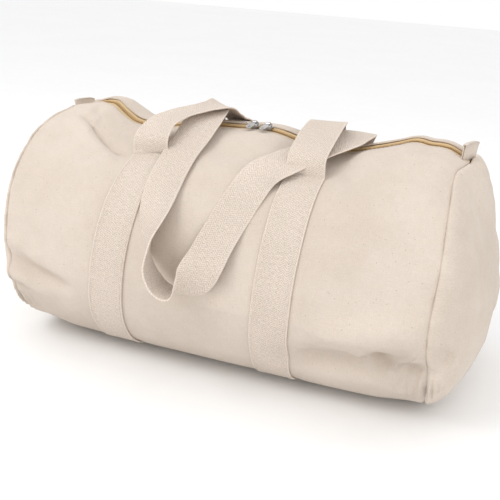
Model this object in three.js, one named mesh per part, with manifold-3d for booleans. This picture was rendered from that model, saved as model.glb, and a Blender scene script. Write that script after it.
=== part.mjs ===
// A cotton canvas barrel duffel bag, lying on its base, built sub-part by sub-part.
// Millimetres. X runs along the bag, -Y is its front and +Z is up. The origin is the middle of
// the base, on the surface that the bag stands on.
import * as THREE from 'three';
import { mergeVertices } from 'three/addons/utils/BufferGeometryUtils.js';
import Module from 'manifold-3d';

const wasm = await Module();
wasm.setup();

// Body: a canvas sleeve, slumped under its own weight, closed by a domed panel at each end.
const SEAM_X = 228;             // distance from the middle to each end seam
const HALF_WIDTH = 148;         // half the width, at the widest height
const WIDEST_Z = 94;            // height of the widest line
const TOP_Z = 251.5;            // height of the canvas beside the middle of the zip
const BASE_FLAT = 60;           // half the width of the flat base
const CANVAS = 2;               // wall thickness of the canvas, with its loft
const WEBBING = 2;              // thickness of the webbing
const GAP = 0.35;               // clearance kept between touching pieces
const STRAP_BASE_Z = WEBBING + GAP;   // height of the canvas where it rests on a band
const DOME_DEPTH = 46;          // how far an end panel bulges beyond its seam
const DOME_TURN = 84;           // angle through which it turns from its seam to its flat middle
const DOME_RINGS = 6;
const END_TAPER = 0.05;         // how much narrower the sleeve is at its seams
const TAPER_FROM = 120;         // where that narrowing starts
const TOP_SLOPE = 0.04;         // rise of the top line from the middle towards each end
const RISE_TO = 196;            // the top line falls again beyond this distance
const END_FALL = 0.35;          // how steeply it falls from there to the end seam
const BASE_EDGE_Z = 8;          // canvas lower than this comes down to the floor between the bands
const BAND_MARGIN = 1.5;        // canvas this far beside a band is still held up by it

// Webbing.
const STRAP_WIDTH = 40;
const BAND_X = { left: -98, right: 82 };
const STITCH_ANGLE = 55;        // girth angle of the line where a band ends and a handle starts
const SAG_RAMP = 2;             // length over which the canvas comes down beside a band

// Zip.
const LIP_Y = 8;                // each canvas edge stands this far from the middle of the zip
const TAPE = { inner: 0.9, outer: 15, low: 246.7, high: 247.8, end: 219.6 };
const COIL = { inner: 0.9, root: 1.5, outer: 3.4, low: 248.15, high: 250.1, end: 216, pitch: 8 };
const SLIDER_X = 8;             // each slider's distance from the middle when the zip is closed
const SLIDER = { length: 12, width: 9, plate: 1.2, post: 1, flange: 0.6 };
const PLATE_GAP = 0.45;         // clearance between a slider's plates and the zip inside it
const BAIL = { length: 9, height: 3.6, bar: 1.4, foot: 0.2 };
const PULL = {
  length: 22, width: 7, neck: 4.4, thickness: 1.2, bore: 1.25, knuckle: 2, droop: 8,
  neckEnd: 6, shoulder: 9, eye: 1.5, weld: 0.4,
};

// Folded canvas loop at each end of the zip.
const TAB = { width: 30, height: 18, depth: 5.6, wall: 1.5, arcSteps: 6 };

const STEP = 15;                // girth angle between stations
const radians = THREE.MathUtils.degToRad;

// Point of the girth at an angle: 0 is the front's widest line, 90 the top, 180 the rear's
// widest line, and -90 and 270 are the two edges of the flat base. inset moves it inwards.
function girth(angle, inset = 0) {
  const cos = Math.cos(radians(angle));
  const sin = Math.sin(radians(angle));
  if (sin >= 0) {
    const rise = TOP_Z - WIDEST_Z - inset;
    return new THREE.Vector2(-cos * (HALF_WIDTH - inset), WIDEST_Z + sin * rise);
  }
  const side = cos > 0 ? -1 : 1;
  const corner = angle === -90 || angle === 270 ? (angle < 0 ? -1 : 1) : side;
  const drop = WIDEST_Z - STRAP_BASE_Z - inset;
  const reach = HALF_WIDTH - BASE_FLAT - inset;
  return new THREE.Vector2(corner * BASE_FLAT - cos * reach, WIDEST_Z + sin * drop);
}

// Girth angles from one end of a wrap to the other, passing under the base.
function wrapAngles(start) {
  const angles = [start];
  for (let angle = Math.ceil(start / STEP) * STEP - STEP; angle >= -90; angle -= STEP) {
    angles.push(angle);
  }
  return [...angles, ...[...angles].reverse().map((angle) => 180 - angle)];
}

// Extrudes an outline drawn in Y and Z along X, between the given stations.
function extrudeAlongX(shape, stations) {
  const steps = stations.length - 1;
  const geometry = new THREE.ExtrudeGeometry(shape, { depth: steps, steps, bevelEnabled: false });
  const position = geometry.attributes.position;
  for (let i = 0; i < position.count; i += 1) {
    const [y, z, step] = [position.getX(i), position.getY(i), Math.round(position.getZ(i))];
    position.setXYZ(i, stations[step], y, z);
  }
  return geometry;
}

// Height that the top line gains at a distance along the bag.
function topRise(x) {
  const distance = Math.abs(x);
  return TOP_SLOPE * Math.min(distance, RISE_TO) - END_FALL * Math.max(distance - RISE_TO, 0);
}

// Share of that gain which a point at a given height takes.
function riseShare(z) {
  return THREE.MathUtils.clamp((z - WIDEST_Z) / (0.5 * (TOP_Z - WIDEST_Z)), 0, 1);
}

function taper(x) {
  const along = (Math.abs(x) - TAPER_FROM) / (SEAM_X - TAPER_FROM);
  return 1 - END_TAPER * THREE.MathUtils.clamp(along, 0, 1);
}

function overBand(x) {
  const reach = STRAP_WIDTH / 2 + BAND_MARGIN;
  return Object.values(BAND_X).some((centre) => Math.abs(x - centre) <= reach);
}

// Gives a straight piece the bag's top line and, for the canvas, its taper and the way that it
// comes down to the floor between the bands.
function settle(geometry, { canvas = false } = {}) {
  const position = geometry.attributes.position;
  for (let i = 0; i < position.count; i += 1) {
    const x = position.getX(i);
    const z = position.getZ(i);
    const sag = canvas && z < BASE_EDGE_Z && !overBand(x) ? STRAP_BASE_Z : 0;
    position.setY(i, position.getY(i) * (canvas ? taper(x) : 1));
    position.setZ(i, z + topRise(x) * riseShare(z) - sag);
  }
  return geometry;
}

function toManifold(geometry) {
  const bare = geometry.clone();
  bare.deleteAttribute('normal');
  bare.deleteAttribute('uv');
  const merged = mergeVertices(bare, 1e-4);
  return new wasm.Manifold(new wasm.Mesh({
    numProp: 3,
    vertProperties: new Float32Array(merged.attributes.position.array),
    triVerts: new Uint32Array(merged.index.array),
  }));
}

function toGeometry(solid) {
  const mesh = solid.getMesh();
  const geometry = new THREE.BufferGeometry();
  geometry.setAttribute('position', new THREE.BufferAttribute(mesh.vertProperties, 3));
  geometry.setIndex(new THREE.BufferAttribute(mesh.triVerts, 1));
  geometry.computeVertexNormals();
  return geometry;
}

function join(geometries) {
  return toGeometry(geometries.map(toManifold).reduce((sum, part) => sum.add(part)));
}

function cut(body, tool) {
  return toGeometry(toManifold(body).subtract(toManifold(tool)));
}

function box(x, y, z, centre) {
  return new THREE.BoxGeometry(x, y, z).translate(...centre);
}

const colours = { canvas: 0xe6dccb, webbing: 0xe3d7c5, tape: 0xd9bd8a, coil: 0xcfa868, metal: 0xb4b5b8 };

function material(kind) {
  const metal = kind === 'metal';
  return new THREE.MeshStandardMaterial({
    color: colours[kind],
    roughness: metal ? 0.35 : 0.9,
    metalness: metal ? 1 : 0,
  });
}

const bag = new THREE.Group();

function add(name, geometry, kind) {
  const mesh = new THREE.Mesh(geometry, material(kind));
  mesh.name = name;
  bag.add(mesh);
  return mesh;
}

// Stations along the sleeve, with a pair of them at each edge of each band.
function sleeveStations() {
  const stations = [-SEAM_X, -RISE_TO, -160, -132, 0, 40, TAPER_FROM, 155, RISE_TO, SEAM_X];
  for (const centre of Object.values(BAND_X)) {
    for (const side of [-1, 1]) {
      const edge = centre + side * (STRAP_WIDTH / 2 + 1);
      stations.push(edge, edge + side * SAG_RAMP);
    }
  }
  return stations.sort((a, b) => a - b);
}

function mainPanel() {
  const lip = 90 - THREE.MathUtils.radToDeg(Math.asin(LIP_Y / HALF_WIDTH));
  const angles = wrapAngles(lip);
  const outer = angles.map((angle) => girth(angle));
  const inner = angles.map((angle) => girth(angle, CANVAS)).reverse();
  const shape = new THREE.Shape([...outer, ...inner]);
  return settle(extrudeAlongX(shape, sleeveStations()), { canvas: true });
}

// A whole turn of the girth, for pieces that close across the top.
function closedGirth(inset) {
  return wrapAngles(90).slice(0, -1).map((angle) => girth(angle, inset));
}

// One dome of the given depth, grown from the girth at a seam by shrinking it ring by ring.
function dome(inset, depth, side, start) {
  const stations = Array.from({ length: DOME_RINGS + 1 }, (_, i) => i);
  const geometry = extrudeAlongX(new THREE.Shape(closedGirth(inset)), stations);
  const position = geometry.attributes.position;
  const middle = (TOP_Z + STRAP_BASE_Z) / 2;
  for (let i = 0; i < position.count; i += 1) {
    const turn = (position.getX(i) / DOME_RINGS) * radians(DOME_TURN);
    const shrink = Math.cos(turn);
    const z = position.getZ(i);
    const risen = z + topRise(SEAM_X) * riseShare(z);
    position.setX(i, start + depth * Math.sin(turn));
    position.setY(i, position.getY(i) * taper(SEAM_X) * shrink);
    position.setZ(i, middle + (risen - middle) * shrink);
  }
  return side > 0 ? geometry : geometry.applyMatrix4(new THREE.Matrix4().makeRotationZ(Math.PI));
}

function endPanel(side) {
  const shell = dome(0, DOME_DEPTH, side, SEAM_X + GAP);
  const hollow = dome(CANVAS, DOME_DEPTH - CANVAS, side, SEAM_X + GAP - 0.1);
  return cut(shell, hollow);
}

// The seam allowance inside each end, bound with tape: a narrow ring against the sleeve's wall.
function seamBinding(side) {
  const shape = new THREE.Shape(closedGirth(CANVAS + 0.5));
  shape.holes.push(new THREE.Path(closedGirth(CANVAS + 7)));
  const ends = [side * SEAM_X, side * (TAPE.end + GAP)].sort((a, b) => a - b);
  return settle(extrudeAlongX(shape, ends), { canvas: true });
}

// One webbing band, from the front stitch line under the base to the rear one.
function band(centre) {
  const angles = wrapAngles(STITCH_ANGLE);
  const inner = angles.map((angle) => girth(angle, -GAP));
  const outer = angles.map((angle) => girth(angle, -GAP - WEBBING)).reverse();
  const shape = new THREE.Shape([...inner, ...outer]);
  return settle(extrudeAlongX(shape, [centre - STRAP_WIDTH / 2, centre + STRAP_WIDTH / 2]));
}

function zipTape(side) {
  const shape = new THREE.Shape([
    new THREE.Vector2(side * TAPE.inner, TAPE.low),
    new THREE.Vector2(side * TAPE.outer, TAPE.low),
    new THREE.Vector2(side * TAPE.outer, TAPE.high),
    new THREE.Vector2(side * TAPE.inner, TAPE.high),
  ]);
  return settle(extrudeAlongX(shape, [-TAPE.end, -RISE_TO, 0, RISE_TO, TAPE.end]));
}

// One row of zip coil, as a bar whose inner edge runs in and out once a pitch.
function zipCoil(side) {
  const shape = new THREE.Shape([
    new THREE.Vector2(side * COIL.outer, COIL.low),
    new THREE.Vector2(side * COIL.outer, COIL.high),
    new THREE.Vector2(side * COIL.inner, COIL.high),
    new THREE.Vector2(side * COIL.inner, COIL.low),
  ]);
  const count = 2 * Math.round(COIL.end / COIL.pitch) * 2;
  const stations = Array.from({ length: count + 1 }, (_, i) => COIL.end * ((2 * i) / count - 1));
  const geometry = extrudeAlongX(shape, stations);
  const position = geometry.attributes.position;
  for (let i = 0; i < position.count; i += 1) {
    const step = Math.round(((position.getX(i) / COIL.end + 1) * count) / 2);
    const inner = Math.abs(position.getY(i)) < COIL.outer;
    if (inner && step % 2 === 1) position.setY(i, side * COIL.root);
  }
  return settle(geometry);
}

// Heights in a slider's own frame, where z = 0 is the middle of the coil that runs through it.
const COIL_HALF = (COIL.high - COIL.low) / 2;
const TOP_PLATE_Z = COIL_HALF + PLATE_GAP + SLIDER.plate / 2;
const LOW_PLATE_Z = TAPE.low - (COIL.high + COIL.low) / 2 - PLATE_GAP - SLIDER.plate / 2;
const TAPE_TOP_Z = TAPE.high - (COIL.high + COIL.low) / 2;
const BAIL_FOOT_Z = TOP_PLATE_Z + SLIDER.plate / 2 - BAIL.foot;
const BAIL_BAR_Z = BAIL_FOOT_Z + BAIL.height - BAIL.bar / 2;

// Slider: two plates on a post, flanges that guide the tapes, and a bail for the pull.
function sliderBody() {
  const parts = [TOP_PLATE_Z, LOW_PLATE_Z].map((z) => {
    return box(SLIDER.length, SLIDER.width, SLIDER.plate, [0, 0, z]);
  });
  parts.push(box(3, SLIDER.post, TOP_PLATE_Z - LOW_PLATE_Z, [0, 0, (TOP_PLATE_Z + LOW_PLATE_Z) / 2]));
  const flangeLow = TAPE_TOP_Z + PLATE_GAP;
  for (const side of [-1, 1]) {
    const y = side * (SLIDER.width - SLIDER.flange) / 2;
    const height = TOP_PLATE_Z - flangeLow;
    parts.push(box(SLIDER.length - 2, SLIDER.flange, height, [0, y, flangeLow + height / 2]));
  }
  const arch = new THREE.Shape();
  const reach = BAIL.length / 2;
  arch.moveTo(-reach, 0).lineTo(reach, 0).lineTo(reach, BAIL.height - 1);
  arch.lineTo(reach - 1, BAIL.height).lineTo(1 - reach, BAIL.height).lineTo(-reach, BAIL.height - 1);
  const clear = reach - BAIL.bar;
  const eye = new THREE.Path();
  eye.moveTo(-clear, BAIL.foot).lineTo(clear, BAIL.foot).lineTo(clear, BAIL.height - BAIL.bar);
  eye.lineTo(-clear, BAIL.height - BAIL.bar);
  arch.holes.push(eye);
  const bail = new THREE.ExtrudeGeometry(arch, { depth: BAIL.bar, bevelEnabled: false });
  bail.rotateX(Math.PI / 2).translate(0, BAIL.bar / 2, BAIL_FOOT_Z);
  return join([...parts, bail]);
}

// Pull tab hanging towards -Y: a knuckle round the bail's bar, with a flat tab from it.
function pullTab() {
  const ring = new THREE.Shape().absarc(0, 0, PULL.knuckle, 0, 2 * Math.PI, false);
  ring.holes.push(new THREE.Path().absarc(0, 0, PULL.bore, 0, 2 * Math.PI, true));
  const round = { depth: PULL.neck, bevelEnabled: false, curveSegments: 8 };
  const knuckle = new THREE.ExtrudeGeometry(ring, round).translate(0, 0, -PULL.neck / 2);
  knuckle.rotateY(Math.PI / 2);
  const [neck, half] = [PULL.neck / 2, PULL.width / 2];
  const reach = PULL.length - half;
  const tab = new THREE.Shape();
  const root = PULL.weld - PULL.knuckle;
  tab.moveTo(-neck, root).lineTo(-neck, -PULL.neckEnd);
  tab.lineTo(-half, -PULL.shoulder).lineTo(-half, -reach);
  tab.absarc(0, -reach, half, Math.PI, 2 * Math.PI, false);
  tab.lineTo(half, -PULL.shoulder).lineTo(neck, -PULL.neckEnd).lineTo(neck, root);
  tab.holes.push(new THREE.Path().absarc(0, 1 - reach, PULL.eye, 0, 2 * Math.PI, true));
  const flat = { depth: PULL.thickness, bevelEnabled: false, curveSegments: 6 };
  const plate = new THREE.ExtrudeGeometry(tab, flat).translate(0, 0, -PULL.thickness / 2);
  return join([knuckle, plate]).rotateX(radians(PULL.droop));
}

// Places a slider or its pull on the closed zip, level with the coil at that side.
function onZip(mesh, side, lift) {
  const middle = (COIL.low + COIL.high) / 2 + topRise(SLIDER_X);
  const lean = Math.atan(TOP_SLOPE);
  const rotation = -side * lean;
  mesh.rotation.y = rotation;
  mesh.position.set(side * SLIDER_X + lift * Math.sin(rotation), 0, middle + lift * Math.cos(rotation));
}

// Folded loop of canvas that stands in the end seam at an end of the zip.
function endTab(side) {
  const outline = (inset) => {
    const half = TAB.depth / 2 - inset;
    const crown = TAB.height - TAB.depth / 2;
    const points = [new THREE.Vector2(-half, 0)];
    for (let step = 0; step <= TAB.arcSteps; step += 1) {
      const turn = Math.PI * (1 - step / TAB.arcSteps);
      points.push(new THREE.Vector2(half * Math.cos(turn), crown + half * Math.sin(turn)));
    }
    points.push(new THREE.Vector2(half, 0));
    return points;
  };
  const shape = new THREE.Shape([...outline(0), ...outline(TAB.wall).reverse()]);
  const geometry = new THREE.ExtrudeGeometry(shape, { depth: TAB.width, bevelEnabled: false });
  const foot = TOP_Z + topRise(SEAM_X - TAB.depth / 2) + GAP;
  return geometry.rotateX(Math.PI / 2).translate(side * SEAM_X, TAB.width / 2, foot);
}

// Flat webbing along a curve. Each control is [x, y, z, roll]: roll turns the strap's width from
// along the bag, at 0, to standing off the canvas, at 90.
function webbing(controls, steps) {
  const path = new THREE.CatmullRomCurve3(controls.map(([x, y, z]) => new THREE.Vector3(x, y, z)));
  const turns = controls.map(([, , , roll]) => new THREE.Vector3(roll, 0, 0));
  const rolls = new THREE.CatmullRomCurve3(turns);
  const geometry = new THREE.BoxGeometry(STRAP_WIDTH, WEBBING, 1, 1, 1, steps);
  const position = geometry.attributes.position;
  for (let i = 0; i < position.count; i += 1) {
    const along = position.getZ(i) + 0.5;
    const [across, through] = [position.getX(i), position.getY(i)];
    const centre = path.getPoint(along);
    const tangent = path.getTangent(along);
    const roll = radians(rolls.getPoint(along).x);
    const height = (centre.z - WIDEST_Z) / (centre.z > WIDEST_Z ? TOP_Z - WIDEST_Z : WIDEST_Z) ** 2;
    const outward = new THREE.Vector3(0, centre.y / HALF_WIDTH ** 2, height).normalize();
    const width = new THREE.Vector3(Math.cos(roll), 0, 0).addScaledVector(outward, Math.sin(roll));
    width.addScaledVector(tangent, -width.dot(tangent)).normalize();
    const face = new THREE.Vector3().crossVectors(tangent, width);
    const point = centre.clone().addScaledVector(width, across).addScaledVector(face, through);
    position.setXYZ(i, point.x, point.y, point.z);
  }
  return geometry;
}

// Front handle: from its roots at the front stitch line it lies back over the top and the rear.
const FRONT_HANDLE = [
  [-97, -88, 231.5, 0], [-97, -84, 241, 0], [-93, -68, 255, 0], [-84, -38, 264, 0],
  [-70, -5, 268, 0], [-58, 22, 269, 0], [-44, 60, 258, 0], [-36, 98, 232, 0],
  [-34, 135, 194, 30], [-28, 160, 161, 68], [2, 168, 140, 90], [32, 164, 152, 112],
  [44, 140, 184, 150], [48, 106, 225, 180], [54, 70, 253, 180], [68, 34, 267, 180],
  [82, 0, 271, 180], [84, -30, 269, 180], [82, -62, 260, 180], [82, -82, 244, 180],
  [82, -88, 231.5, 180],
];

// Rear handle, held down by the front one: a strap from each rear root, forward over the top.
const REAR_STRAP_LEFT = [
  [-98, 88, 231.5, 0], [-96, 80, 241, 0], [-84, 58, 253, 0], [-66, 34, 260, 0], [-48, 10, 262, 0],
  [-42, -16, 261, 0], [-41, -40, 255, 0], [-44, -66, 243, 0], [-49, -92, 225, 0], [-51, -109, 208.5, 0],
];
const REAR_STRAP_RIGHT = [
  [82, 88, 231.5, 0], [90, 78, 243, 0], [106, 54, 253.5, 0], [118, 28, 261.5, 0], [117, 0, 266, 0],
  [105, -26, 263.5, 0], [84, -50, 252.5, 0], [57, -74, 238, 0], [36, -94, 222.5, 0],
  [27, -109, 208.5, 0],
];

// Its loop, which hangs down the front below the two straps.
const REAR_LOOP = [
  [-51.5, -111, 205.5, 0], [-54, -126, 188, 8], [-56, -146, 166, 30], [-58, -163, 144, 62],
  [-57, -172, 122, 84], [-46, -174, 105, 90], [-28, -174, 104, 96], [-10, -168, 116, 130],
  [1, -157, 138, 168], [9, -143, 161, 180], [18, -127, 184, 180], [26.5, -111, 205.5, 180],
];

function buildBag() {
  add('main_panel', mainPanel(), 'canvas');
  const sides = { left: -1, right: 1 };
  for (const [name, side] of Object.entries(sides)) {
    add(`end_panel_${name}`, endPanel(side), 'canvas');
    add(`seam_binding_${name}`, seamBinding(side), 'canvas');
    add(`end_tab_${name}`, endTab(side), 'canvas');
    add(`band_${name}`, band(BAND_X[name]), 'webbing');
    onZip(add(`slider_${name}`, sliderBody(), 'metal'), side, 0);
    onZip(add(`pull_${name}`, pullTab(), 'metal'), side, BAIL_BAR_Z);
  }
  for (const [name, side] of Object.entries({ front: -1, rear: 1 })) {
    add(`zip_tape_${name}`, zipTape(side), 'tape');
    add(`zip_coil_${name}`, zipCoil(side), 'coil');
  }
  add('handle_front', webbing(FRONT_HANDLE, 56), 'webbing');
  add('handle_rear_strap_left', webbing(REAR_STRAP_LEFT, 20), 'webbing');
  add('handle_rear_strap_right', webbing(REAR_STRAP_RIGHT, 20), 'webbing');
  add('handle_rear_loop', webbing(REAR_LOOP, 30), 'webbing');
}

buildBag();

export default bag;
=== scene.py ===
# A natural cotton duffel bag: the looks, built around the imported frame.
# Lengths are in millimetres until a mesh is made. Angles round the body are girth angles, in
# degrees: 0 is the front's widest line, 90 the top, 180 the rear's widest line, and -90 and 270
# are the two edges of the flat base.
import math

import bmesh
import bpy
import numpy as np
from mathutils import Matrix, Vector, noise


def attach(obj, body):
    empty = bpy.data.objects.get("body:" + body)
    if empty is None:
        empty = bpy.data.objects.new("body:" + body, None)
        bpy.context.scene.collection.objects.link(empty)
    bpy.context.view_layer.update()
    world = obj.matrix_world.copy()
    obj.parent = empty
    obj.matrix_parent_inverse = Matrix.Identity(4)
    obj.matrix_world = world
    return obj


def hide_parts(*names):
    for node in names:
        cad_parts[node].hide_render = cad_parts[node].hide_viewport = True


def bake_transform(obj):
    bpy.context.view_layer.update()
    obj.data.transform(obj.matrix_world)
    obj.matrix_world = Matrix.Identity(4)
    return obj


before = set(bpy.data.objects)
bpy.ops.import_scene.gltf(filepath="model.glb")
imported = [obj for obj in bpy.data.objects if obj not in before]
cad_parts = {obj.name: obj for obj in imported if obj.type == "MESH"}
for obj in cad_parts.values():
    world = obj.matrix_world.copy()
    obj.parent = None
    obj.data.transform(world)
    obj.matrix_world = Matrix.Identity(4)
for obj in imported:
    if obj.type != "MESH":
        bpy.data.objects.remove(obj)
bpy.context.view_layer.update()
MM = 0.001

# Body, as in the CAD.
SEAM_X = 228.0
HALF_WIDTH = 148.0
WIDEST_Z = 94.0
BASE_FLAT = 60.0
TAPER_FROM = 120.0
END_TAPER = 0.05
DOME_DEPTH = {"left": 26.0, "right": 46.0}     # how far each end stands out past its seam
FULLNESS = 0.85         # below 1 makes the ends rounder at their rims
HIGH_SLACK = {"left": 4.0, "right": 14.0}     # how much less each end stands out high up
STRAP_BASE_Z = 2.35
CANVAS = 1.3            # thickness of the canvas
ARC = 2.6               # length round the girth for each degree
LIP_Y = 6.6             # distance from the middle of the zip to the front edge of the canvas
REAR_LIP_Y = 8.4        # distance to the rear edge
FRONT_LIP_Z = -1.6      # height of the front edge above the middle of the coil
REAR_LIP_Z = 2.2        # height of the rear edge above it
LIP_RISE = 4.5          # how much higher the front edge is at the left end
END_LIFT = {"left": 8.0, "right": 4.0}     # rise of the underside at each end seam
LIFT_FROM = 176.0       # where that rise starts along the bag
LIFT_Z = (4.0, 84.0)    # heights between which that rise fades out
PLAIN_TOP = 256.0       # height of the section's crown before the top line bends it
DIP_FROM = 0.6          # sine of the girth angle above which the top line bends it
SLACK = 2.0             # how far the canvas stands off between the bands

# Unevenness of the canvas: height, size of the lumps, and seed.
BROAD_LUMPS = (2.6, 95.0, 3.7)
MIDDLE_LUMPS = (1.0, 38.0, 9.1)
FINE_LUMPS = (0.25, 13.0, 5.3)
END_BROAD_LUMPS = (3.4, 70.0, 21.5)
END_FINE_LUMPS = (1.2, 26.0, 31.0)

# Webbing.
STRAP = 40.0
WEBBING = 1.9           # thickness of the webbing
GAP = 0.35              # gap between the webbing and the canvas
ROW_STEP = 3.5          # distance between rows of points along a strap
SETTLE = 45.0           # length over which a free strap turns from how its root lies
BAND_X = {"left": -98.0, "right": 82.0}
BAND_LEAN = {
    "left": [(-90, -110), (-20, -110), (0, -108), (30, -101), (56, -92), (90, -95), (270, -98)],
    "right": [(-90, 72), (0, 74), (30, 76), (57, 78), (90, 80), (270, 82)],
}
STITCH = {"left": 56.0, "right": 58.0}      # girth angle where the front handle leaves the body
REAR_STITCH = 125.0                         # and where the rear handle does

# Top line: height of the zip's coil along the bag.
TOP_LINE = [
    (-228, 246), (-216, 249), (-202, 254), (-194, 256.2), (-188, 256.4), (-182, 255.8), (-171, 248),
    (-156, 239), (-142, 236.5), (-120, 238), (-90, 242), (-52, 246.5), (-15, 248.7), (-8, 249.4),
    (8, 249.4), (25, 247), (45, 242),
    (70, 238.5), (90, 237.5), (108, 240), (129, 245.5), (153, 253), (167, 258), (176, 258.4),
    (183, 257), (188, 256.8), (193, 257), (204, 256), (216, 251), (228, 245),
]


def spline(table, at):
    """Smooth curve through a table of (place, value), at one place or many."""
    places = np.array([row[0] for row in table], float)
    values = np.array([row[1:] for row in table], float)
    at = np.ravel(np.asarray(at, float))
    i = np.clip(np.searchsorted(places, at, side="right") - 1, 0, len(places) - 2)
    slopes = np.gradient(values, places, axis=0)
    step = (places[i + 1] - places[i])[:, None]
    t = np.clip((at - places[i])[:, None] / step, 0, 1)
    h00 = 2 * t**3 - 3 * t**2 + 1
    h10 = t**3 - 2 * t**2 + t
    h01 = 3 * t**2 - 2 * t**3
    h11 = t**3 - t**2
    out = h00 * values[i] + h10 * step * slopes[i] + h01 * values[i + 1] + h11 * step * slopes[i + 1]
    return out[:, 0] if out.shape[1] == 1 else out


def smooth(value, low, high):
    """Rises from 0 at low to 1 at high, level at both."""
    t = np.clip((value - low) / (high - low), 0, 1)
    return t * t * (3 - 2 * t)


def unit(v):
    return v / np.maximum(np.linalg.norm(v, axis=-1, keepdims=True), 1e-9)


def zip_height(x):
    return spline(TOP_LINE, x).reshape(np.shape(x))


# Folds and swells of the canvas: a path of (x, girth angle), a width, and a height that is
# negative for a crease. A sharp one comes to an edge along its path.
FOLDS = [
    ("left_shoulder_crease", [(-206, 73), (-184, 69.5), (-164, 65), (-138, 58.5), (-118, 54.5)],
     10, -14, True),
    ("left_shoulder_ridge", [(-204, 68), (-180, 63), (-160, 58.5), (-136, 52)], 10, 5, False),
    ("left_shoulder_hollow", [(-196, 84), (-160, 75), (-130, 69)], 20, -6, False),
    ("left_corner_crease", [(-212, 90), (-190, 80), (-172, 72)], 9, -3, False),
    ("left_corner_valley", [(-212, 62), (-190, 46), (-180, 34)], 16, -3, False),
    ("left_side_valley", [(-232, 2), (-216, 0), (-198, -3), (-166, -9)], 12, -10, False),
    ("left_side_edge", [(-230, 8), (-216, 6), (-198, 2)], 8, 4, False),
    ("left_side_swell", [(-230, -8), (-214, -11), (-190, -18)], 12, 5, False),
    ("left_side_tuck", [(-230, -13), (-216, -17)], 6, -4, True),
    ("right_corner_ridge", [(218, -4), (205, -15), (195, -25)], 6, 10, True),
    ("right_corner_valley", [(120, -14), (152, -17), (182, -15), (206, -8)], 8, -4, False),
    ("right_corner_swell", [(136, -1), (180, 3), (212, 6)], 16, 14, False),
    ("right_front_ridge", [(160, -8), (170, -16), (179, -24)], 6, 9, True),
    ("right_front_hollow", [(181, -10), (189, -24)], 9, -5, False),
    ("right_corner_hollow", [(214, -16), (208, -34)], 13, -7, False),
    ("right_corner_undercut", [(96, -27), (150, -22), (206, -18)], 24, -18, False),
    ("right_end_fold", [(236, 3), (239, -6), (244, -22)], 5, -4, True),
    ("right_shoulder_swell", [(176, 74), (196, 66)], 26, 3.5, False),
    ("right_middle_hollow", [(120, 66), (150, 50), (176, 44)], 24, -4, False),
    ("middle_shadow_hollow", [(-30, 66), (10, 60), (50, 58)], 18, -4, False),
    ("rear_left_crest", [(-200, 114), (-160, 112), (-120, 110)], 26, -2, False),
    ("rear_left_crease", [(-204, 128), (-168, 120), (-132, 116)], 9, -6, True),
    ("rear_right_valley", [(228, 172), (196, 178), (160, 186)], 15, -7, False),
    ("rear_middle_sag", [(-40, 128), (0, 132), (40, 128)], 30, -3, False),
    ("rear_right_crease", [(206, 112), (176, 120), (140, 126)], 9, -6, True),
    ("rear_corner_valley", [(-236, 176), (-208, 182), (-172, 190)], 12, -7, False),
    ("right_shoulder_crease", [(214, 84), (190, 78), (168, 76)], 7, -3, False),
]


def near_path(x, angle, path):
    """Distance in millimetres from each point to a path drawn on the body, and how far along."""
    s = angle * ARC
    best = np.full(np.shape(x), 1e9)
    share = np.zeros(np.shape(x))
    points = [(px, pa * ARC) for px, pa in path]
    lengths = [math.dist(a, b) for a, b in zip(points, points[1:])]
    total, done = sum(lengths), 0.0
    for (ax, as_), (bx, bs), length in zip(points, points[1:], lengths):
        dx, ds = bx - ax, bs - as_
        t = np.clip(((x - ax) * dx + (s - as_) * ds) / length**2, 0, 1)
        distance = np.hypot(x - ax - t * dx, s - as_ - t * ds)
        closer = distance < best
        best = np.where(closer, distance, best)
        share = np.where(closer, (done + t * length) / total, share)
        done += length
    return best, share


def fbm(points, size, octaves=3, seed=0.0):
    """Smooth noise from about -1 to 1 at points in millimetres."""
    flat = np.asarray(points, float).reshape(-1, 3) / size + seed
    values = [noise.fractal(Vector(p), 0.9, 2.1, octaves) for p in flat]
    return np.array(values).reshape(np.shape(points)[:-1])


def lumps(points, kind):
    height, size, seed = kind
    return height * fbm(points, size, 2, seed)


def band_centre(side, angle):
    return spline(BAND_LEAN[side], angle).reshape(np.shape(angle))


def off_band(x, angle):
    """Distance from each point to the nearest band, negative under it."""
    sides = [np.abs(x - band_centre(side, angle)) - STRAP / 2 for side in BAND_X]
    return np.minimum(*sides)


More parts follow.
